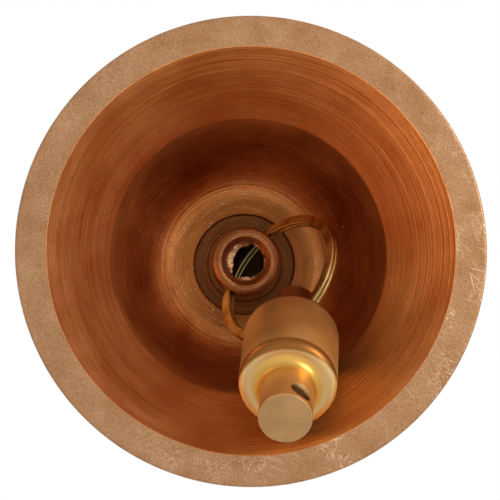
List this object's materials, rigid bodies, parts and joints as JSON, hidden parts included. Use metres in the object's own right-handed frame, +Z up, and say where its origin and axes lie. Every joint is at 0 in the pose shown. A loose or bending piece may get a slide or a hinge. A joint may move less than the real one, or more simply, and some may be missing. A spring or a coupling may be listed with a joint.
{
  "type": "bell",
  "caption": "Turned metal bell with a thick flat lip and a round-shouldered clapper hung on a split ring from a hollow cross-drilled stud, with an eye on the crown to hang it by.",
  "frame": {"origin": "centre of the bore of the hanging eye, on the bell axis", "axes": "+Z runs up along the bell axis out of the crown, so the mouth faces -Z; +X runs along the eye bore; the clapper leans towards +Y"},
  "size_m": [0.1, 0.1, 0.1198],
  "materials": {
    "bell_shell": "turned bronze, ground lip",
    "crown_stud": "turned, dull",
    "seat_washer": "dull, stained",
    "crown_washer": "satin",
    "crown_nut": "satin",
    "lock_nut": "satin",
    "hanging_eye": "satin",
    "split_ring": "dull olive brass",
    "clapper": "satin turned"
  },
  "bodies": {
    "bell": {"bell_shell": "bell_shell", "crown_stud": "crown_stud", "seat_washer": "seat_washer", "crown_washer": "crown_washer", "crown_nut": "crown_nut", "lock_nut": "lock_nut", "hanging_eye": "hanging_eye"},
    "ring": {"split_ring": "split_ring"},
    "clapper": {"clapper": "clapper"}
  },
  "joints": [
    {"name": "ring_swing", "type": "hinge", "parent": "bell", "child": "ring", "pos_m": [0, 0, -0.0423], "axis": [0.5821, -0.8131, 0], "range_deg": [-34, 0]},
    {"name": "clapper_swing", "type": "hinge", "parent": "ring", "child": "clapper", "pos_m": [0.01002, 0.0143, -0.06539], "axis": [-0.7302, 0.5826, 0.3569], "range_deg": [0, 16]}
  ]
}
